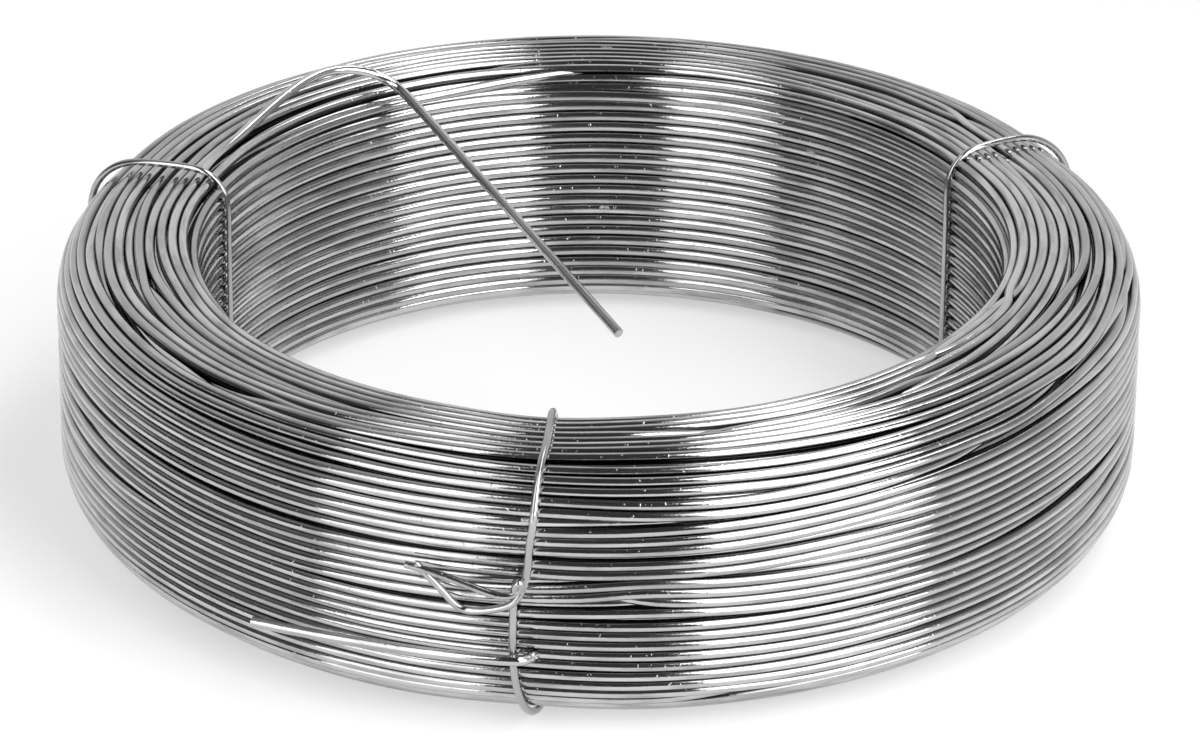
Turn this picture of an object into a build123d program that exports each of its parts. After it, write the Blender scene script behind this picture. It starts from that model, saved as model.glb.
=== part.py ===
"""A coil of drawn, galvanised steel wire, lying flat and held by three wire ties.

The wound turns are one turned solid with its bore, and they show all round its section, as ridges that are
each about three turns wide.
The wire's two free ends leave the coil as bent wire: the inner end springs up from the upper end and
reaches down into the bore, and the outer end crosses over the front tie and stands off the outer wall.
Each tie is one bent wire that goes round the coil's section and is hooked to itself on the outer wall.

Frame: millimetres, +Z up along the coil's axis, origin on that axis at the height of the ties' undersides,
on which the coil rests. Azimuths are in degrees from +X, and the front of the coil faces -Y.
"""
from build123d import *
from math import cos, degrees, pi, radians, sin
import os

os.makedirs("parts", exist_ok=True)

# The wire and the wound coil
wire_diameter = 2.0
bore_radius = 76.0
winding_depth = 29.0
coil_height = 52.4
outer_corner_radius = 11.4
inner_corner_radius = 6.6
ridge_pitch = 7.2
ridge_height = 1.1
ridge_flank_share = 0.2

# The wire ties
tie_wire_diameter = 1.4
tie_front_degrees = -97.5
tie_left_degrees = 161.3
tie_right_degrees = 25.6
tie_leg_spacing = 2.6
tie_tail_length = 20.0
tie_hook_radius = 1.6
tie_tail_bend_radius = 2.6
tie_knot_height_share = 0.58
tie_lean_share = 0.6

# Room between wires that lie on each other
seat_clearance = 0.2

# The wire's inner end, from the left tie over its crest and the bore's lip to its cut face in the bore
inner_end_lift_degrees = 148.0
inner_end_lift_bend_radius = 14.0
inner_end_crest_degrees = 132.4
inner_end_crest_rise = 6.6
inner_end_crest_bend_radius = 9.0
inner_end_lip_degrees = 122.0
inner_end_lip_rise = 1.6
inner_end_lip_inset_share = 0.45
inner_end_lip_bend_radius = 15.0
inner_end_tip_right = 4.0
inner_end_tip_behind = 0.2
inner_end_tip_height_share = 0.57

# The wire's outer end, from beside the front tie to its cut face off the outer wall
outer_end_height = 16.6
outer_end_crossing_bend_radius = 8.0
outer_end_run_bend_radius = 60.0

# Places on the ties' tails: sideways and up from the hook in tail lengths, off the wall in tie wires
upper_tail_tip_shares = (-1.0, 0.14, 2.5)
hook_shares = (0.0, 0.06, 0.0)
crossing_shares = (0.0, 0.03, 1.3)
lower_tail_shares = ((-0.36, -0.29, 1.0), (-0.54, -0.27, 0.6), (-0.9, 0.17, 0.5))

# Places on the outer end: degrees from the front tie, off the wall and up in wire diameters
outer_end_route_shares = (
    (2.2, 0.0, 0.2),
    (0.4, 0.85, 0.0),
    (-7.0, 0.95, 0.0),
    (-17.0, 1.4, 0.0),
    (-28.0, 2.8, 0.0),
)

# How round the wires are drawn: the flat sides of a section, and the straight chords in a right-angled bend
wire_side_count = 8
right_angle_chord_count = 6

# Sizes that follow from those above
outer_radius = bore_radius + winding_depth
coil_bottom = tie_wire_diameter + seat_clearance
coil_top = coil_bottom + coil_height
wire_offset = seat_clearance + wire_diameter / 2
tie_offset = seat_clearance + tie_wire_diameter / 2


def around(radius, azimuth, height):
    """The point at a radius, an azimuth and a height."""
    return Vector(radius * cos(radians(azimuth)), radius * sin(radians(azimuth)), height)


def bent_wire(points, bend_radii, diameter):
    """A wire, drawn with flat sides, along straight runs that are joined by bends of a few chords each."""
    bent = FilletPolyline(*points, radius=bend_radii)
    stops = [bent @ 0]
    for edge in bent.edges():
        chords = 1
        if edge.geom_type == GeomType.CIRCLE:
            chords = max(1, round(edge.length / edge.radius / (pi / 2) * right_angle_chord_count))
        stops += [edge @ (chord / chords) for chord in range(1, chords + 1)]
    path = Polyline(*stops)
    start = Plane(origin=path @ 0, z_dir=path % 0)
    section = start * RegularPolygon(diameter / 2, wire_side_count, major_radius=False)
    wire = sweep(section, path=path, transition=Transition.RIGHT)
    volume_share = wire.volume / (path.length * section.area)
    print(f"wire {path.length:.1f} mm long, volume {volume_share:.4f} of section times length")
    return wire


def ridge_count(length):
    """How many ridges fill a length of the section's outline."""
    return max(1, round(length / ridge_pitch))


def section_outline():
    """The section's outline in the plane y = 0, clockwise from the foot of the upper inner corner.
    Ridges fill each of its rounded corners and each straight run after a corner."""
    inner = bore_radius + inner_corner_radius
    outer = outer_radius - outer_corner_radius
    corners = [
        (Vector(inner, 0, coil_top - inner_corner_radius), inner_corner_radius),
        (Vector(outer, 0, coil_top - outer_corner_radius), outer_corner_radius),
        (Vector(outer, 0, coil_bottom + outer_corner_radius), outer_corner_radius),
        (Vector(inner, 0, coil_bottom + inner_corner_radius), inner_corner_radius),
    ]
    outline = []
    for number, (centre, radius) in enumerate(corners):
        next_centre, next_radius = corners[(number + 1) % len(corners)]
        start_angle = pi - pi / 2 * number

        def on_corner(share, depth):
            angle = start_angle - pi / 2 * share
            return centre + Vector(cos(angle), 0, sin(angle)) * (radius - depth)

        def on_run(share, depth):
            angle = start_angle - pi / 2
            outward = Vector(cos(angle), 0, sin(angle))
            start = centre + outward * radius
            end = next_centre + outward * next_radius
            return start + (end - start) * share - outward * depth

        run_length = (on_run(1, 0) - on_run(0, 0)).length
        for place, length in ((on_corner, radius * pi / 2), (on_run, run_length)):
            ridges = ridge_count(length)
            for ridge in range(ridges):
                outline.append(place(ridge / ridges, ridge_height))
                outline.append(place((ridge + ridge_flank_share) / ridges, 0))
                outline.append(place((ridge + 1 - ridge_flank_share) / ridges, 0))
    return outline


def wound_coil():
    """The turned solid: the section with its ridges, swept once round the axis."""
    section = make_face(Polyline(*section_outline(), close=True))
    return revolve(section, axis=Axis.Z)


def tie(azimuth):
    """One tie: up the outer wall from under the coil, hooked round its other leg, both tails to one side."""
    outer = outer_radius + tie_offset
    inner = bore_radius - tie_offset
    low = coil_bottom - tie_offset
    high = coil_top + tie_offset
    knot = coil_bottom + tie_knot_height_share * coil_height
    lean = knot + tie_lean_share * (coil_top - outer_corner_radius - knot)
    half = tie_leg_spacing / 2

    def place(radius, sideways, height):
        return around(radius, azimuth + degrees(sideways / radius), height)

    def by_shares(shares, leg):
        sideways, up, off = shares
        return place(
            outer + off * tie_wire_diameter,
            leg + sideways * tie_tail_length,
            knot + up * tie_tail_length,
        )

    points = [
        by_shares(upper_tail_tip_shares, -half),
        by_shares(hook_shares, -half),
        place(outer, -half, low),
        place(inner, -half, low),
        place(inner, half, high),
        place(outer, half, high),
        place(outer, half, lean),
        by_shares(crossing_shares, half),
    ]
    for shares in lower_tail_shares:
        points.append(by_shares(shares, -half))
    corner_outside = outer_corner_radius + tie_offset
    corner_inside = inner_corner_radius + tie_offset
    bend_radii = [tie_hook_radius, corner_outside, corner_inside, corner_inside, corner_outside]
    bend_radii += [corner_outside, tie_hook_radius, tie_tail_bend_radius, tie_tail_bend_radius]
    return bent_wire(points, bend_radii, tie_wire_diameter)


def inner_wire_end():
    """The free end that lies on the upper end's first ridge, springs up and bends into the bore."""
    flat = winding_depth - inner_corner_radius - outer_corner_radius
    lay_radius = bore_radius + inner_corner_radius + flat / ridge_count(flat) / 2
    lay_height = coil_top + wire_offset
    past_tie = degrees((tie_wire_diameter + wire_offset) / lay_radius)
    lip_radius = bore_radius + inner_end_lip_inset_share * inner_corner_radius
    tip_height = coil_bottom + inner_end_tip_height_share * coil_height
    points = [
        around(lay_radius, tie_left_degrees - past_tie, lay_height),
        around(lay_radius, inner_end_lift_degrees, lay_height),
        around(lay_radius, inner_end_crest_degrees, coil_top + inner_end_crest_rise),
        around(lip_radius, inner_end_lip_degrees, coil_top + inner_end_lip_rise),
        Vector(inner_end_tip_right, inner_end_tip_behind, tip_height),
    ]
    bend_radii = [inner_end_lift_bend_radius, inner_end_crest_bend_radius, inner_end_lip_bend_radius]
    return bent_wire(points, bend_radii, wire_diameter)


def outer_wire_end():
    """The free end that leaves the outer wall beside the front tie, crosses it and stands off the wall."""
    points = []
    for turn, off, up in outer_end_route_shares:
        radius = outer_radius + wire_offset + off * wire_diameter
        height = coil_bottom + outer_end_height + up * wire_diameter
        points.append(around(radius, tie_front_degrees + turn, height))
    bend_radii = [outer_end_crossing_bend_radius] * 2 + [outer_end_run_bend_radius]
    return bent_wire(points, bend_radii, wire_diameter)


nodes = {
    "wound_coil": wound_coil(),
    "inner_wire_end": inner_wire_end(),
    "outer_wire_end": outer_wire_end(),
    "tie_front": tie(tie_front_degrees),
    "tie_left": tie(tie_left_degrees),
    "tie_right": tie(tie_right_degrees),
}

for name, solid in nodes.items():
    solid.label = name
    export_step(solid, f"parts/{name}.step")
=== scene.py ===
"""Looks of a coil of bright galvanised steel wire that lies flat and is held by three hooked wire ties.

The turns lie in rings that follow the outline of the coil's section. They wander on their way round, in
bundles and one by one, and are pushed apart until they lie beside each other. The two outer rings become
bevelled curves, and the third one only holds them up. The wire's inner end runs on as one of the turns,
and its outer end goes in between them.
Lengths are in millimetres, and MM makes them metres. Azimuths are in degrees from +X.
"""

import math

import bmesh
import bpy
import numpy as np
from mathutils import Matrix, Vector


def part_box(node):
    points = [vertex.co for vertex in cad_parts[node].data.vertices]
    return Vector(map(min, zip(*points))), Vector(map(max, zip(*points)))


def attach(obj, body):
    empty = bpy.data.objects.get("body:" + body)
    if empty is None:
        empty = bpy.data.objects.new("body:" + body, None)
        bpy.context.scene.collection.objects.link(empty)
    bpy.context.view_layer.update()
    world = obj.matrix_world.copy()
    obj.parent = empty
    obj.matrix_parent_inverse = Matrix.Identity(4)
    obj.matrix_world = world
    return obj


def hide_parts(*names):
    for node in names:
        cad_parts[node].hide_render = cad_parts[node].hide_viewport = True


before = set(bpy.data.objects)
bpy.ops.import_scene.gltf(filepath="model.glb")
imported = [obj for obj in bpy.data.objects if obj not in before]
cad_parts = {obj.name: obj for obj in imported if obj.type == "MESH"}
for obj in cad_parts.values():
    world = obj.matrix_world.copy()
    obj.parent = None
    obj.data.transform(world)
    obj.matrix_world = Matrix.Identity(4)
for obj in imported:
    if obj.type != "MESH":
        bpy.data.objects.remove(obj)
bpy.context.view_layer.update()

MM = 0.001
TINY = 1e-9
SEED = 20

# The wire and the section that it fills. The bore's turns are drawn thicker, so that they nearly touch
WIRE = 2.0
BORE_WIRE = 2.25
BORE_RADIUS = 76.0
INNER_CORNER = 6.6
OUTER_CORNER = 11.4
coil_low, coil_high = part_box("wound_coil")
OUTER_RADIUS = coil_high.x / MM
COIL_BOTTOM = coil_low.z / MM
COIL_TOP = coil_high.z / MM

# Spacing of the turns along the section's outline, and of the rings from each other
BORE_PITCH = 2.33
TURN_PITCH = 1.87
UNDER_PITCH = 2.15
RING_STEP = 1.85
RINGS = 3
STATIONS = 120
CORNER_SAMPLES = 24

# A turn is the bore's where the radial part of its way out of the section is below these: for its pitch, and
# for settling and shading
BORE_PITCH_WAY = -0.7
BORE_WAY = -0.5

# The groove along the rim: its place on the section, in degrees up from the bore wall, and round the coil
GROOVE_SLOPES = (14.0, 74.0)
GROOVE_AZIMUTHS = (78.0, 222.0)
GROOVE_RAMP = 18.0
GROOVE_DEPTH = 2.0

# How far the bore stands back: all round, in one wave and in two waves, and how deep the winding gives way
BORE_WIDENING = (1.4, 0.6, 1.0)
WIDENING_DEPTH = 11.0

# How far the turns stray, in bundles and one by one, the share of it that is left by the bore wall, and how
# many wires further out they stray in full
BUNDLE_STRAY = 0.9
BUNDLE_MODES = 26
BUNDLE_WAVES = (0, 4)
BUNDLE_BANDS = (2, 10)
TURN_STRAY = 0.6
DEPTH_STRAY = 0.9
STRAY_WAVES = 6
STRAY_FALL = 0.7
BORE_STRAY_SHARE = 0.07
FREE_WIRES = 3.0

# How the turns settle: pushed apart, smoothed along their way, drawn to where they strayed, tight at the ties
SETTLING_STEPS = 130
CLOSING_STEPS = 40
NEIGHBOURS = 22
PUSH_SHARE = 0.4
SMOOTHING_SHARE = 0.32
CLOSING_SMOOTHING_SHARE = 0.1
RETURN_SHARE = 0.03
RISING_STEP = 0.02
CINCH = 0.5
CINCH_SPREAD = 8.0

# The ring that stands for the turns deep in the winding, painted near-black as shade
CORE_DEPTH = 5.2
CORE_CORNER = 4.0
CORE_CORNER_SEGMENTS = 3
CORE_STEPS = 96

# How finely wires are drawn: rounding of the section, steps between points, and the curve's order
ROUNDING = 4
UNDER_ROUNDING = 2
TURN_STEPS = 2
END_STEPS = 4
TIE_STEPS = 5
SPLINE_ORDER = 4

# The wire's inner end: its cut face in the bore, shares of the straight run to it from the bore's lip, places
# from the lip to the left tie as azimuth, radius and height, and the turn as which it runs on
INNER_TIP = (4.0, 0.2, 31.47)
INNER_RUN_SHARES = (1.0, 0.85, 0.6, 0.3, 0.12)
INNER_LAY = 83.7
INNER_PLACES = (
    (122.0, 79.0, 55.6), (126.5, 82.0, 59.1), (132.4, INNER_LAY, 60.3), (139.0, INNER_LAY, 58.2),
    (146.0, INNER_LAY, 55.0), (152.0, INNER_LAY, 53.3), (158.0, INNER_LAY, 53.0),
)
INNER_TURN_START = 163.0
INNER_TURN_END = 470.0
INNER_DIVE = 14.0
INNER_TONE_SHARE = 0.1

# The wire's outer end from its cut face over the front tie and in between the turns, places as above
OUTER_PLACES = (
    (-124.0, 112.0, 17.4), (-119.0, 110.5, 17.4), (-114.5, 109.4, 17.4), (-109.0, 108.5, 17.3),
    (-104.0, 108.0, 17.2), (-100.5, 107.7, 17.2), (-98.5, 107.6, 17.2), (-97.5, 107.4, 17.2),
    (-97.0, 106.9, 17.1), (-96.6, 105.8, 17.0), (-96.2, 104.5, 16.9), (-95.7, 102.8, 16.8),
    (-94.9, 100.8, 16.8),
)

# The turn that crosses the rim's groove: azimuth, radius and depth under the coil's top
RIM_START = ((78, 86.0, 4.0), (84, 84.2, 2.8), (90, 82.2, 1.8), (97, 80.6, 2.0), (105, 79.4, 2.7))
RIM_RUN_AZIMUTHS = range(115, 205, 5)
RIM_RUN_RADIUS = 78.6
RIM_RUN_DEPTH = 3.3
RIM_END = ((212, 79.4, 4.2), (220, 81.2, 5.4))

# The ties, and how far each stands off the coil's upper end
TIE = 1.4
TIE_AZIMUTHS = {"tie_front": -97.5, "tie_left": 161.3, "tie_right": 25.6}
TIE_SEAT = 0.1
TIE_SLACK = {"tie_front": 0.0, "tie_left": 0.3, "tie_right": 0.0}

# A tie's two legs on the outer wall: off the leg's seat, sideways and height, the first from its tail through
# the hook down, the second down through the hook to its tail
TIE_LOWER_LEG = (
    (2.1, -20.9, 34.5), (1.8, -16.6, 34.0), (1.7, -7.0, 31.1), (1.8, -2.7, 29.8), (0.8, 0.3, 30.6),
    (1.2, 0.8, 33.0), (1.8, -0.4, 33.2), (1.0, -0.9, 30.5), (0.0, -1.1, 27.7), (0.0, -1.2, 23.6),
    (0.0, -1.3, 18.5),
)
TIE_UPPER_LEG = (
    (0.0, 1.8, 41.2), (0.0, 1.5, 35.0), (0.4, 1.0, 31.8), (1.6, -0.4, 29.0), (1.6, -2.6, 27.8),
    (1.2, -7.0, 26.4), (1.1, -10.2, 26.2), (1.2, -11.9, 27.4), (1.4, -13.6, 29.6), (1.6, -15.5, 31.6),
    (1.8, -18.9, 34.9),
)

# A tie's four bends: how far sideways each starts and ends. The points of a bend stand out a little, because
# the curve runs inside them
TIE_BENDS = {
    "low_outer": (-0.9, 2.5),
    "low_inner": (2.3, 2.0),
    "high_inner": (2.0, 2.4),
    "high_outer": (3.2, 2.3),
}
TIE_BEND_STEPS = 4
TIE_BEND_SWELL = 1 / 9
TIE_BORE_SIDEWAYS = 2.0
TIE_BORE_SHARES = (0.25, 0.4, 0.6, 0.75)

# The zinc: its colours where it is bright and dull, its least roughness, and what marks add to roughness
COIL_BRIGHT = (0.60, 0.60, 0.605)
COIL_DULL = (0.36, 0.36, 0.36)
COIL_POLISH = 0.10
TIE_BRIGHT = (0.48, 0.48, 0.48)
TIE_DULL = (0.36, 0.36, 0.36)
TIE_POLISH = 0.13
TONE_DULLING = 0.7
DULL_ROUGHNESS = 0.07
STREAK_ROUGHNESS = 0.04

# Drawn wire is rougher across than along, so its highlights are turned a quarter from its heading
ANISOTROPY = 0.9
QUARTER_TURN = 0.25

# Marks that stand out of the wire or are sunk in it
STREAK_HEIGHT = 0.5
PIT_HEIGHT = 1.6
GRAIN_HEIGHT = 0.3
BUMP_STRENGTH = 0.35
BUMP_DISTANCE = 0.03

# Noise behind each mark: its stretch along the wire and across it, the range that shows, and its detail
MARK_NOISE = {
    "Streak": ((0.05, 3.0, 3.0), 0.35, 0.65, 2.0),
    "Dull": ((0.09, 0.5, 0.5), 0.40, 0.68, 3.0),
    "Pits": ((1.3, 1.3, 1.3), 0.72, 0.80, 0.0),
    "Grain": ((1.6, 4.0, 4.0), 0.30, 0.70, 1.0),
}
TONE_SHIFT = 80.0

# Painted shade between turns, darkening the colour where a side of a turn faces its neighbours: how far a
# side faces out where it starts and is full, and its share by the bore wall
CREVICE_SHADE_START = 0.65
CREVICE_SHADE_END = 0.2
BORE_CREVICE_SHADE = 0.05
CREVICE_SHADE_DARKENING = 0.96
CREVICE_SHADE_COLOUR = (0.012, 0.012, 0.012)
# The near-black colour painted as shade on the ring that stands for the deep turns, and its roughness
DEEP_SHADE_COLOUR = (0.02, 0.02, 0.02)
DEEP_ROUGHNESS = 0.6

# The floor, in metres, and its glow
FLOOR_HALF = 3.0
FLOOR_GLOW = 0.5
FLOOR_COLOUR = (0.52, 0.52, 0.52)
FLOOR_ROUGHNESS = 0.9
WHITE = (1.0, 1.0, 1.0)

# Side panels, in metres: the side, the edges nearest to the camera and furthest from it, the lower and upper
# edge, and radiance
PANEL_DISTANCE = 0.6
PANELS = {
    "left_panel": (-1, 1.62, 0.46, 0.0, 2.4, 2.7),
    "right_panel": (1, 1.52, 0.29, 0.0, 2.4, 4.6),
    "right_upper_panel": (1, 0.29, -0.8, 1.0, 2.6, 4.6),
}

# The studio's light: dim all round, and paler ways with where each starts, is full, and how much it adds
DIM_LEVEL = 0.06
PALE_BEHIND = ((0.0, 1.0, 0.0), 0.15, 0.65, 0.80)
PALE_RIGHT = ((1.0, 0.0, 0.0), 0.6, 0.95, 0.42)
PALE_HIGH_LEFT = ((-0.6, 0.12, 0.79), 0.85, 1.0, 0.3)

# The camera stands where the photograph's camera stood; it sees from 0.05 to 20 metres
PHOTO_WIDTH = 1200.0
PHOTO_HEIGHT = 748.0
SENSOR = 36.0
FOCAL_PIXELS = 6112.7
CAMERA_ELEVATION = 27.05
CAMERA_DISTANCE = 1205.4
CAMERA_ROLL = 0.009
COIL_PIXEL = (598.1, 470.2)
CLIP_START = 0.05
CLIP_END = 20.0

# Sockets of a Mix node that mixes colours
MIX_COLOUR_A = 6
MIX_COLOUR_B = 7
MIX_COLOUR_RESULT = 2

chance = np.random.default_rng(SEED)


def around(azimuth, radius, height):
    """The point at an azimuth, a radius and a height."""
    turn = math.radians(azimuth)
    return (radius * math.cos(turn), radius * math.sin(turn), height)


def degrees_between(azimuths, other):
    """The turn from one azimuth to others, between -180 and 180 degrees."""
    return (azimuths - other + 180.0) % 360.0 - 180.0


# The winding

def bore_widening(azimuths):
    """How far the bore wall stands back from its circle: most on the right, less on the left."""
    turn = np.radians(azimuths)
    return sum(size * np.cos(wave * turn) for wave, size in enumerate(BORE_WIDENING))


def outline_depth(places):
    """How deep places of radius and height lie inside the section's rounded outline, and the way out."""
    middle = np.array([BORE_RADIUS + OUTER_RADIUS, COIL_BOTTOM + COIL_TOP]) / 2
    half = np.array([OUTER_RADIUS - BORE_RADIUS, COIL_TOP - COIL_BOTTOM]) / 2
    offset = places - middle
    corner = np.where(offset[..., 0] > 0, OUTER_CORNER, INNER_CORNER)
    reach = np.abs(offset) - half + corner[..., None]
    past = np.maximum(reach, 0.0)
    length = np.linalg.norm(past, axis=-1)
    depth = corner - length - np.minimum(reach.max(axis=-1), 0.0)
    nearest_side = np.eye(2)[reach.argmax(axis=-1)]
    way_out = np.where(length[..., None] > 0, past / np.maximum(length, TINY)[..., None], nearest_side)
    return depth, way_out * np.sign(offset)


def ring_of_turns(depth, turn_pitch):
    """Places spaced along the section's outline, a depth inside it, and each one's share of the way."""
    samples = []
    corners = (
        (-1, 1, INNER_CORNER), (1, 1, OUTER_CORNER), (1, -1, OUTER_CORNER), (-1, -1, INNER_CORNER),
    )
    for side, rise, corner in corners:
        radius = BORE_RADIUS + corner if side < 0 else OUTER_RADIUS - corner
        height = COIL_TOP - corner if rise > 0 else COIL_BOTTOM + corner
        middle = math.atan2(rise, side)
        bend = corner - depth
        for angle in np.linspace(middle + math.pi / 4, middle - math.pi / 4, CORNER_SAMPLES):
            samples.append((radius + bend * math.cos(angle), height + bend * math.sin(angle)))
    samples = np.array(samples + samples[:1])
    _, out = outline_depth((samples[1:] + samples[:-1]) / 2)
    pitch = np.where(out[:, 0] < BORE_PITCH_WAY, BORE_PITCH, turn_pitch)
    way = np.append(0.0, np.cumsum(np.linalg.norm(np.diff(samples, axis=0), axis=1) / pitch))
    count = round(way[-1])
    share = (np.arange(count) + 0.5) / count
    places = np.stack([np.interp(share * way[-1], way, samples[:, axis]) for axis in (0, 1)], axis=1)
    return places, share


def first_places():
    """Each turn's first place in the section, its share of the way round its ring, and its ring."""
    pitches = [TURN_PITCH] + [UNDER_PITCH] * (RINGS - 1)
    rings = [ring_of_turns(WIRE / 2 + ring * RING_STEP, pitch) for ring, pitch in enumerate(pitches)]
    first = np.concatenate([places for places, _ in rings])
    shares = np.concatenate([share for _, share in rings])
    ring = np.repeat(np.arange(RINGS), [len(share) for _, share in rings])
    return first, shares, ring


def stray(first, shares, azimuths):
    """How far each turn strays from its place round the coil: bundles shift together, turns by themselves."""
    turn = np.radians(azimuths)[:, None]
    along = np.zeros((len(azimuths), len(first)))
    for _ in range(BUNDLE_MODES):
        wave, band = chance.integers(*BUNDLE_WAVES), chance.integers(*BUNDLE_BANDS)
        phase = chance.uniform(0, 2 * math.pi)
        size = BUNDLE_STRAY * chance.normal() / math.sqrt(BUNDLE_MODES / 2)
        along += size * np.cos(wave * turn + 2 * math.pi * band * shares + phase)
    deep = np.zeros_like(along)
    for wave in range(1, STRAY_WAVES + 1):
        for moved, size in ((along, TURN_STRAY), (deep, DEPTH_STRAY)):
            strength = size * chance.normal(size=len(first)) / wave ** STRAY_FALL
            moved += strength * np.cos(wave * turn + chance.uniform(0, 2 * math.pi, len(first)))
    _, way_out = outline_depth(first)
    free = np.clip((first[:, 0] - BORE_RADIUS - WIRE) / WIRE / FREE_WIRES, BORE_STRAY_SHARE, 1.0)
    way_along = np.stack([way_out[:, 1], -way_out[:, 0]], axis=1)
    return (along[..., None] * way_along - np.abs(deep)[..., None] * way_out) * free[:, None]


def turns_in_groove(out):
    """Which turns lie in the rim's groove, by their ways out of the section."""
    slope = np.degrees(np.arctan2(out[:, 1], -out[:, 0]))
    return (slope > GROOVE_SLOPES[0]) & (slope < GROOVE_SLOPES[1])


def wanted_places(first, shares, azimuths):
    """Where each turn strays to at each azimuth, sunk in the groove and set back with the bore."""
    _, out = outline_depth(first)
    start, end = GROOVE_AZIMUTHS
    sunk = GROOVE_DEPTH * np.clip(np.minimum(azimuths - start, end - azimuths) / GROOVE_RAMP, 0, 1)
    wanted = first + stray(first, shares, azimuths)
    wanted -= (sunk[:, None] * turns_in_groove(out))[..., None] * out
    give = np.clip(1 - (first[:, 0] - BORE_RADIUS - WIRE / 2) / WIDENING_DEPTH, 0, 1)
    wanted[..., 0] += bore_widening(azimuths)[:, None] * give
    return wanted


def settled_places(first, ring, azimuths, wanted):
    """Each turn's radius and height at each azimuth, clear of the other turns and inside the outline."""
    _, out = outline_depth(first)
    spacing = np.linalg.norm(first[:, None] - first[None], axis=-1)
    near = np.argsort(spacing, axis=1)[:, 1:NEIGHBOURS + 1]
    tight = np.zeros(STATIONS)
    for azimuth in TIE_AZIMUTHS.values():
        tight += CINCH * np.exp(-(degrees_between(azimuths, azimuth) / CINCH_SPREAD) ** 2)
    rising = RISING_STEP * ((ring > 0) & (out[:, 0] > BORE_WAY) & ~turns_in_groove(out))

    places = wanted.copy()
    for step in range(SETTLING_STEPS + CLOSING_STEPS):
        closing = step >= SETTLING_STEPS
        apart = places[:, :, None] - places[:, near]
        gap = np.maximum(np.linalg.norm(apart, axis=-1), TINY)
        push = np.clip(WIRE - gap, 0, None) / gap * PUSH_SHARE
        places += (apart * push[..., None]).sum(axis=2)
        depth, way_out = outline_depth(places)
        short = np.clip(WIRE / 2 + tight[:, None] - depth, 0, None)
        places += way_out * (rising - short)[..., None]
        beside = np.roll(places, 1, axis=0) + np.roll(places, -1, axis=0) - 2 * places
        places += beside * (CLOSING_SMOOTHING_SHARE if closing else SMOOTHING_SHARE)
        if not closing:
            places += (wanted - places) * RETURN_SHARE
    return places


# Making wire pieces

def finish_piece(name, mesh, material, node):
    """Sets a mesh up as a piece of the coil, in the place of a CAD node."""
    mesh.materials.clear()
    mesh.materials.append(material)
    piece = bpy.data.objects.new(name, mesh)
    bpy.context.collection.objects.link(piece)
    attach(piece, "root")
    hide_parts(node)


def mark_wire(mesh, routes, sides, diameter, tone_share):
    """Gives the mesh its way and heading along the wire, a tone for each route, and how far each side faces a
    neighbour, which masks the painted shade between the turns."""
    points = np.empty(len(mesh.vertices) * 3)
    mesh.vertices.foreach_get("co", points)
    points = points.reshape(routes, -1, sides, 3) / MM
    centres = points.mean(axis=2)
    steps = np.linalg.norm(np.diff(centres, axis=1), axis=2)
    along = np.concatenate([np.zeros((routes, 1)), np.cumsum(steps, axis=1)], axis=1)
    angle = np.arange(sides) * 2 * math.pi / sides
    way = np.empty(points.shape)
    way[..., 0] = along[:, :, None]
    way[..., 1] = np.cos(angle) * diameter / 2
    way[..., 2] = np.sin(angle) * diameter / 2

    radius = np.linalg.norm(centres[..., :2], axis=-1)
    depth, out = outline_depth(np.stack([radius, centres[..., 2]], axis=-1))
    flat = centres[..., :2] / np.maximum(radius, TINY)[..., None]
    outward = np.concatenate([flat * out[..., :1], out[..., 1:]], axis=-1)
    facing = ((points - centres[:, :, None]) * outward[:, :, None]).sum(axis=-1) / (diameter / 2)
    # Painted shade: the colour is darkened on the sides of a turn that face its neighbours, much less by the
    # bore wall
    laid = np.clip(depth / (WIRE / 2), 0, 1) * np.where(out[..., 0] < BORE_WAY, BORE_CREVICE_SHADE, 1.0)
    crevice_shade = np.clip((CREVICE_SHADE_START - facing) / (CREVICE_SHADE_START - CREVICE_SHADE_END), 0, 1) * laid[..., None]

    heading = np.gradient(centres, axis=1)
    heading /= np.maximum(np.linalg.norm(heading, axis=-1), TINY)[..., None]
    heading = np.repeat(heading[:, :, None], sides, axis=2)

    tone = np.repeat(chance.random(routes) * tone_share, points.shape[1] * sides)
    for name, kind, field, values in (
        ("wire_way", "FLOAT_VECTOR", "vector", way),
        ("wire_heading", "FLOAT_VECTOR", "vector", heading),
        ("turn_tone", "FLOAT", "value", tone),
        ("crevice_shade", "FLOAT", "value", crevice_shade),
    ):
        layer = mesh.attributes.new(name, kind, "POINT")
        layer.data.foreach_set(field, values.astype(np.float32).ravel())


def wire_piece(
    name, node, routes, material,
    diameter=WIRE, closed=False, rounding=ROUNDING, steps=END_STEPS, tone_share=1.0,
):
    """One piece of round wire along NURBS routes. A bevel has four sides, and two more for each rounding."""
    curve = bpy.data.curves.new(name + "_line", "CURVE")
    curve.dimensions = "3D"
    curve.bevel_depth = diameter / 2 * MM
    curve.bevel_resolution = rounding
    curve.resolution_u = steps
    curve.use_fill_caps = not closed
    curve.twist_mode = "Z_UP" if closed else "MINIMUM"
    for route in routes:
        spline = curve.splines.new("NURBS")
        spline.points.add(len(route) - 1)
        controls = np.ones((len(route), 4))
        controls[:, :3] = np.array(route) * MM
        spline.points.foreach_set("co", controls.ravel())
        spline.use_cyclic_u = closed
        spline.use_endpoint_u = not closed
        spline.order_u = SPLINE_ORDER
    line = bpy.data.objects.new(name + "_line", curve)
    mesh = bpy.data.meshes.new_from_object(line)
    mesh.name = name
    bpy.data.objects.remove(line)
    bpy.data.curves.remove(curve)
    mark_wire(mesh, len(routes), 4 + 2 * rounding, diameter, tone_share)
    finish_piece(name, mesh, material, node)


# Materials

def new_material(name):
    """A material with its nodes and links."""
    material = bpy.data.materials.new(name)
    material.use_nodes = True
    return material, material.node_tree.nodes, material.node_tree.links


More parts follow.
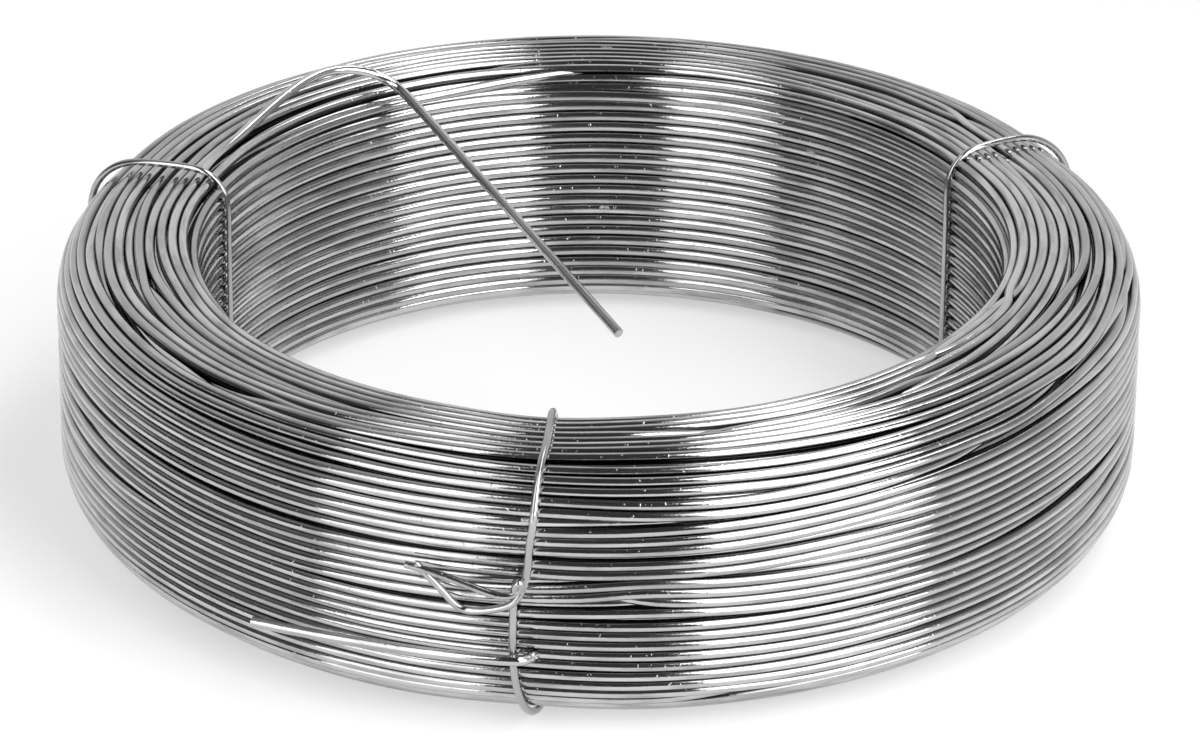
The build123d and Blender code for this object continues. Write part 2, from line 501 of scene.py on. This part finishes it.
def drawing_marks():
    """Marks that drawing and zinc coating leave on wire: streaks along it, dull patches, pits and grain."""
    group = bpy.data.node_groups.new("drawing_marks", "ShaderNodeTree")
    group.interface.new_socket("Way", in_out="INPUT", socket_type="NodeSocketVector")
    group.interface.new_socket("Tone", in_out="INPUT", socket_type="NodeSocketFloat")
    for mark in MARK_NOISE:
        group.interface.new_socket(mark, in_out="OUTPUT", socket_type="NodeSocketFloat")
    nodes, links = group.nodes, group.links
    given, made = nodes.new("NodeGroupInput"), nodes.new("NodeGroupOutput")
    offset = nodes.new("ShaderNodeMath")
    offset.operation = "MULTIPLY"
    offset.inputs[1].default_value = TONE_SHIFT
    links.new(given.outputs["Tone"], offset.inputs[0])
    for mark, (stretch, low, high, detail) in MARK_NOISE.items():
        scaled = nodes.new("ShaderNodeVectorMath")
        scaled.operation = "MULTIPLY"
        scaled.inputs[1].default_value = stretch
        links.new(given.outputs["Way"], scaled.inputs[0])
        noise = nodes.new("ShaderNodeTexNoise")
        noise.noise_dimensions = "4D"
        noise.inputs["Scale"].default_value = 1.0
        noise.inputs["Detail"].default_value = detail
        links.new(scaled.outputs[0], noise.inputs["Vector"])
        links.new(offset.outputs[0], noise.inputs["W"])
        spread = nodes.new("ShaderNodeMapRange")
        spread.interpolation_type = "SMOOTHSTEP"
        spread.inputs["From Min"].default_value = low
        spread.inputs["From Max"].default_value = high
        links.new(noise.outputs["Fac"], spread.inputs["Value"])
        links.new(spread.outputs["Result"], made.inputs[mark])
    return group


def attribute(nodes, name):
    """A node that reads one of the wire's attributes."""
    node = nodes.new("ShaderNodeAttribute")
    node.attribute_name = name
    return node


def mixed(nodes, links, factor, start, end):
    """A colour mixed by a factor; start and end are sockets or plain colours."""
    mix = nodes.new("ShaderNodeMix")
    mix.data_type = "RGBA"
    links.new(factor, mix.inputs["Factor"])
    for socket, value in ((mix.inputs[MIX_COLOUR_A], start), (mix.inputs[MIX_COLOUR_B], end)):
        if isinstance(value, tuple):
            socket.default_value = (*value, 1.0)
        else:
            links.new(value, socket)
    return mix.outputs[MIX_COLOUR_RESULT]


def ranged(nodes, links, value, low, high):
    """A value from 0 to 1 spread over a range."""
    spread = nodes.new("ShaderNodeMapRange")
    spread.inputs["To Min"].default_value = low
    spread.inputs["To Max"].default_value = high
    links.new(value, spread.inputs["Value"])
    return spread.outputs["Result"]


def summed(nodes, links, first, second):
    """The sum of two values."""
    add = nodes.new("ShaderNodeMath")
    add.operation = "ADD"
    links.new(first, add.inputs[0])
    links.new(second, add.inputs[1])
    return add.outputs[0]


def zinc_wire(name, marks, bright, dull, polish):
    """Drawn zinc-coated wire: bright, duller in patches, with painted shade between the turns, and with
    streaks and pits.
    """
    material, nodes, links = new_material(name)
    shader = nodes["Principled BSDF"]
    shader.inputs["Metallic"].default_value = 1.0
    surface = nodes.new("ShaderNodeGroup")
    surface.node_tree = marks
    way, tone = attribute(nodes, "wire_way"), attribute(nodes, "turn_tone")
    links.new(way.outputs["Vector"], surface.inputs["Way"])
    links.new(tone.outputs["Fac"], surface.inputs["Tone"])

    patch = mixed(nodes, links, surface.outputs["Dull"], bright, dull)
    shade = ranged(nodes, links, tone.outputs["Fac"], 0.0, TONE_DULLING)
    toned = mixed(nodes, links, shade, patch, dull)
    # Painted shade between the turns, mixed into the colour by its mask
    crevice_shading = ranged(nodes, links, attribute(nodes, "crevice_shade").outputs["Fac"], 0.0, CREVICE_SHADE_DARKENING)
    links.new(mixed(nodes, links, crevice_shading, toned, CREVICE_SHADE_COLOUR), shader.inputs["Base Color"])

    rough = summed(
        nodes, links,
        ranged(nodes, links, surface.outputs["Dull"], polish, polish + DULL_ROUGHNESS),
        ranged(nodes, links, surface.outputs["Streak"], 0.0, STREAK_ROUGHNESS),
    )
    links.new(rough, shader.inputs["Roughness"])
    shader.inputs["Anisotropic"].default_value = ANISOTROPY
    shader.inputs["Anisotropic Rotation"].default_value = QUARTER_TURN
    links.new(attribute(nodes, "wire_heading").outputs["Vector"], shader.inputs["Tangent"])

    height = summed(
        nodes, links,
        ranged(nodes, links, surface.outputs["Streak"], 0.0, STREAK_HEIGHT),
        ranged(nodes, links, surface.outputs["Pits"], 0.0, PIT_HEIGHT),
    )
    height = summed(nodes, links, height, ranged(nodes, links, surface.outputs["Grain"], 0.0, GRAIN_HEIGHT))
    bump = nodes.new("ShaderNodeBump")
    bump.inputs["Strength"].default_value = BUMP_STRENGTH
    bump.inputs["Distance"].default_value = BUMP_DISTANCE * MM
    links.new(height, bump.inputs["Height"])
    links.new(bump.outputs["Normal"], shader.inputs["Normal"])
    return material


def painted_shade_zinc(name):
    """The turns deep in the winding, painted near-black as shade, since hardly any light comes there."""
    material, nodes, _ = new_material(name)
    shader = nodes["Principled BSDF"]
    shader.inputs["Metallic"].default_value = 1.0
    shader.inputs["Base Color"].default_value = (*DEEP_SHADE_COLOUR, 1.0)
    shader.inputs["Roughness"].default_value = DEEP_ROUGHNESS
    return material


marks = drawing_marks()
coil_zinc = zinc_wire("galvanised_wire", marks, COIL_BRIGHT, COIL_DULL, COIL_POLISH)
tie_zinc = zinc_wire("tie_wire_zinc", marks, TIE_BRIGHT, TIE_DULL, TIE_POLISH)
deep_shade_zinc = painted_shade_zinc("deep_turns_shade")


# The turns

def turn_route(azimuths, line, thicker):
    """The points of one turn round the coil, from a station of its own, deeper by what it is thicker."""
    angle = np.radians(azimuths)
    _, out = outline_depth(line)
    radius, height = (line - out * thicker / 2).T
    route = np.stack([radius * np.cos(angle), radius * np.sin(angle), height], axis=1)
    return np.roll(route, chance.integers(STATIONS), axis=0)


def sides_of(first):
    """The side of the coil on which each turn lies."""
    _, out = outline_depth(first)
    return np.where(
        np.abs(out[:, 0]) > np.abs(out[:, 1]),
        np.where(out[:, 0] > 0, "outer", "bore"),
        np.where(out[:, 1] > 0, "upper", "lower"),
    )


def wound_turns(azimuths, first, ring, places, inner_turn):
    """The turns of the two outer rings, side by side of the coil, without the one that is the inner end."""
    side_of = sides_of(first)
    whole = np.arange(len(first)) != inner_turn
    for side in ("bore", "upper", "outer", "lower"):
        for layer, (ending, rounding) in enumerate((("_turns", ROUNDING), ("_under_turns", UNDER_ROUNDING))):
            chosen = np.flatnonzero((ring == layer) & (side_of == side) & whole)
            drawn = BORE_WIRE if side == "bore" else WIRE
            routes = [turn_route(azimuths, places[:, turn], drawn - WIRE) for turn in chosen]
            wire_piece(
                side + ending, "wound_coil", routes, coil_zinc,
                diameter=drawn, closed=True, rounding=rounding, steps=TURN_STEPS,
            )


def winding_core():
    """The turns that lie too deep to be seen, as one ring painted near-black as shade."""
    low, high = COIL_BOTTOM + CORE_DEPTH, COIL_TOP - CORE_DEPTH
    near, far = BORE_RADIUS + CORE_DEPTH, OUTER_RADIUS - CORE_DEPTH
    shape = bmesh.new()
    corners = []
    for radius, height in ((near, low), (far, low), (far, high), (near, high)):
        corners.append(shape.verts.new(Vector((radius, 0, height)) * MM))
    for start, end in zip(corners, corners[1:] + corners[:1]):
        shape.edges.new((start, end))
    bmesh.ops.bevel(
        shape, geom=corners, affect="VERTICES", offset=CORE_CORNER * MM, segments=CORE_CORNER_SEGMENTS,
        profile=0.5, material=-1,
    )
    bmesh.ops.spin(
        shape, geom=shape.verts[:] + shape.edges[:], cent=(0, 0, 0), axis=(0, 0, 1),
        angle=2 * math.pi, steps=CORE_STEPS, use_merge=True,
    )
    bmesh.ops.recalc_face_normals(shape, faces=shape.faces[:])
    mesh = bpy.data.meshes.new("winding_core")
    shape.to_mesh(mesh)
    shape.free()
    finish_piece("winding_core", mesh, deep_shade_zinc, "wound_coil")


azimuths = np.arange(STATIONS) * 360.0 / STATIONS
first, shares, ring = first_places()
places = settled_places(first, ring, azimuths, wanted_places(first, shares, azimuths))
inner_turn = np.linalg.norm(first - (INNER_LAY, COIL_TOP - WIRE / 2), axis=1).argmin()
wound_turns(azimuths, first, ring, places, inner_turn)
winding_core()


# The free ends, and the turn that crosses the rim's groove

def open_turn(azimuths, line, start, end):
    """The points of one turn from a start azimuth on to a higher one, where it dives between the others."""
    at = np.arange(start, end, 360.0 / STATIONS)
    place = np.stack([np.interp(at, azimuths, line[:, axis], period=360.0) for axis in (0, 1)], axis=1)
    _, out = outline_depth(place)
    dive = np.clip((at - end + INNER_DIVE) / INNER_DIVE, 0, 1) ** 2 * WIRE
    place -= out * dive[:, None]
    return [around(azimuth, radius, height) for azimuth, (radius, height) in zip(at, place)]


def inner_end(azimuths, line):
    """The end that springs up from the upper side and reaches down into the bore, with the turn behind it."""
    lip = np.array(around(*INNER_PLACES[0]))
    route = [tuple(lip + (np.array(INNER_TIP) - lip) * share) for share in INNER_RUN_SHARES]
    route += [around(*place) for place in INNER_PLACES]
    route += open_turn(azimuths, line, INNER_TURN_START, INNER_TURN_END)
    wire_piece(
        "inner_end", "inner_wire_end", [route], coil_zinc, tone_share=INNER_TONE_SHARE,
    )


def outer_end():
    """The end that stands off the outer wall and goes in between the turns beside the front tie."""
    route = [around(*place) for place in OUTER_PLACES]
    wire_piece("outer_end", "outer_wire_end", [route], coil_zinc)


def rim_turn():
    """The turn that comes up from the upper side and runs along the groove by the bore's lip."""
    run = [(azimuth, RIM_RUN_RADIUS, RIM_RUN_DEPTH) for azimuth in RIM_RUN_AZIMUTHS]
    route = []
    for azimuth, radius, depth in (*RIM_START, *run, *RIM_END):
        route.append(around(azimuth, radius, COIL_TOP - depth))
    wire_piece("rim_turn", "wound_coil", [route], coil_zinc)


inner_end(azimuths, places[:, inner_turn])
outer_end()
rim_turn()


# The ties

def tie_route(azimuth, slack):
    """A tie's route: its lower leg's tail, the hook, under the coil, up the bore and over to the other tail.
    Over the coil's upper end it stands off by its slack."""
    gap = TIE / 2 + TIE_SEAT
    wall = BORE_RADIUS + bore_widening(azimuth)
    outer, inner = OUTER_RADIUS + gap, wall - gap
    low, high = COIL_BOTTOM - gap, COIL_TOP + gap
    out_bend, in_bend = OUTER_CORNER + gap, INNER_CORNER + gap
    far, near = OUTER_RADIUS - OUTER_CORNER, wall + INNER_CORNER

    def place(radius, sideways, height):
        return around(azimuth + math.degrees(sideways / radius), radius, height)

    def leg(places_on_wall):
        return [place(outer + off, sideways, height) for off, sideways, height in places_on_wall]

    def bend(name, radius, height, size, start):
        step = math.pi / 2 / TIE_BEND_STEPS
        swell = size * (1 + TIE_BEND_SWELL * step ** 2)
        sideways_start, sideways_end = TIE_BENDS[name]
        points = []
        for count in range(TIE_BEND_STEPS + 1):
            angle = start - step * count
            sideways = sideways_start + (sideways_end - sideways_start) * count / TIE_BEND_STEPS
            points.append(place(radius + swell * math.cos(angle), sideways, height + swell * math.sin(angle)))
        return points

    route = leg(TIE_LOWER_LEG)
    route += bend("low_outer", far, COIL_BOTTOM + OUTER_CORNER, out_bend, 0.0)
    route += bend("low_inner", near, COIL_BOTTOM + INNER_CORNER, in_bend, -math.pi / 2)
    route += [place(inner, TIE_BORE_SIDEWAYS, low + (high - low) * share) for share in TIE_BORE_SHARES]
    route += bend("high_inner", near, COIL_TOP - INNER_CORNER + slack, in_bend, math.pi)
    route += bend("high_outer", far + slack / 2, COIL_TOP - OUTER_CORNER + slack, out_bend, math.pi / 2)
    return route + leg(TIE_UPPER_LEG)


for tie, azimuth in TIE_AZIMUTHS.items():
    route = tie_route(azimuth, TIE_SLACK[tie])
    wire_piece(tie + "_wire", tie, [route], tie_zinc, diameter=TIE, steps=TIE_STEPS)


# Floor and light

def studio_floor():
    """A plain white floor that camera and reflections see lit all over, with the coil's shadow on it."""
    shape = bmesh.new()
    bmesh.ops.create_grid(shape, x_segments=1, y_segments=1, size=FLOOR_HALF)
    mesh = bpy.data.meshes.new("floor")
    shape.to_mesh(mesh)
    shape.free()
    floor = bpy.data.objects.new("floor", mesh)
    bpy.context.collection.objects.link(floor)
    material, nodes, links = new_material("white_floor")
    shader = nodes["Principled BSDF"]
    shader.inputs["Base Color"].default_value = (*FLOOR_COLOUR, 1.0)
    shader.inputs["Roughness"].default_value = FLOOR_ROUGHNESS
    shader.inputs["Specular IOR Level"].default_value = 0.0
    shader.inputs["Emission Color"].default_value = (*WHITE, 1.0)
    path = nodes.new("ShaderNodeLightPath")
    seen = summed(nodes, links, path.outputs["Is Camera Ray"], path.outputs["Is Glossy Ray"])
    seen = summed(nodes, links, seen, path.outputs["Is Transmission Ray"])
    links.new(ranged(nodes, links, seen, 0.0, FLOOR_GLOW), shader.inputs["Emission Strength"])
    mesh.materials.append(material)


def side_panel(name, side, front, rear, low, high, radiance):
    """A tall soft panel beside the coil, parallel to the view."""
    lamp = bpy.data.lights.new(name, "AREA")
    lamp.shape = "RECTANGLE"
    lamp.size = front - rear
    lamp.size_y = high - low
    lamp.energy = radiance * lamp.size * lamp.size_y * math.pi
    holder = bpy.data.objects.new(name, lamp)
    holder.location = (side * PANEL_DISTANCE, -(front + rear) / 2, (low + high) / 2)
    holder.rotation_euler = (math.pi / 2, 0.0, side * math.pi / 2)
    bpy.context.collection.objects.link(holder)


def pale_way(nodes, links, where, least, way, start, full, added):
    """Light from one way of the studio, rising from the least level."""
    facing = nodes.new("ShaderNodeVectorMath")
    facing.operation = "DOT_PRODUCT"
    facing.inputs[1].default_value = way
    links.new(where, facing.inputs[0])
    ramp = nodes.new("ShaderNodeMapRange")
    ramp.interpolation_type = "SMOOTHSTEP"
    ramp.inputs["From Min"].default_value = start
    ramp.inputs["From Max"].default_value = full
    ramp.inputs["To Min"].default_value = least
    ramp.inputs["To Max"].default_value = least + added
    links.new(facing.outputs["Value"], ramp.inputs["Value"])
    return ramp.outputs["Result"]


def studio_world():
    """A dim studio, paler behind the coil, and somewhat paler to its right and high on its left."""
    world = bpy.data.worlds.new("studio")
    world.use_nodes = True
    bpy.context.scene.world = world
    nodes, links = world.node_tree.nodes, world.node_tree.links
    background = nodes["Background"]
    where = nodes.new("ShaderNodeTexCoord").outputs["Generated"]
    light = pale_way(nodes, links, where, DIM_LEVEL, *PALE_BEHIND)
    for pale in (PALE_RIGHT, PALE_HIGH_LEFT):
        light = summed(nodes, links, light, pale_way(nodes, links, where, 0.0, *pale))
    links.new(light, background.inputs["Strength"])
    background.inputs["Color"].default_value = (*WHITE, 1.0)


studio_floor()
studio_world()
for name, panel in PANELS.items():
    side_panel(name, *panel)


def photo_camera():
    """The camera, aimed so that the middle of the coil's foot lands on its pixel."""
    camera = bpy.data.cameras.new("camera")
    camera.sensor_width = SENSOR
    camera.lens = FOCAL_PIXELS / PHOTO_WIDTH * SENSOR
    camera.clip_start = CLIP_START
    camera.clip_end = CLIP_END
    holder = bpy.data.objects.new("camera", camera)
    tilt = math.radians(CAMERA_ELEVATION)
    back = Vector((0.0, -math.cos(tilt), math.sin(tilt)))
    aim = back.to_track_quat("Z", "Y").to_matrix().to_4x4()
    lift = math.atan((COIL_PIXEL[1] - PHOTO_HEIGHT / 2) / FOCAL_PIXELS)
    sway = math.atan((COIL_PIXEL[0] - PHOTO_WIDTH / 2) / FOCAL_PIXELS)
    turn = Matrix.Rotation(lift, 4, "X") @ Matrix.Rotation(sway, 4, "Y")
    turn = turn @ Matrix.Rotation(CAMERA_ROLL, 4, "Z")
    place = Matrix.Translation((back * CAMERA_DISTANCE + Vector((0, 0, COIL_BOTTOM))) * MM)
    holder.matrix_world = place @ aim @ turn
    bpy.context.collection.objects.link(holder)
    bpy.context.scene.camera = holder


photo_camera()
bpy.context.scene.view_settings.view_transform = "Standard"
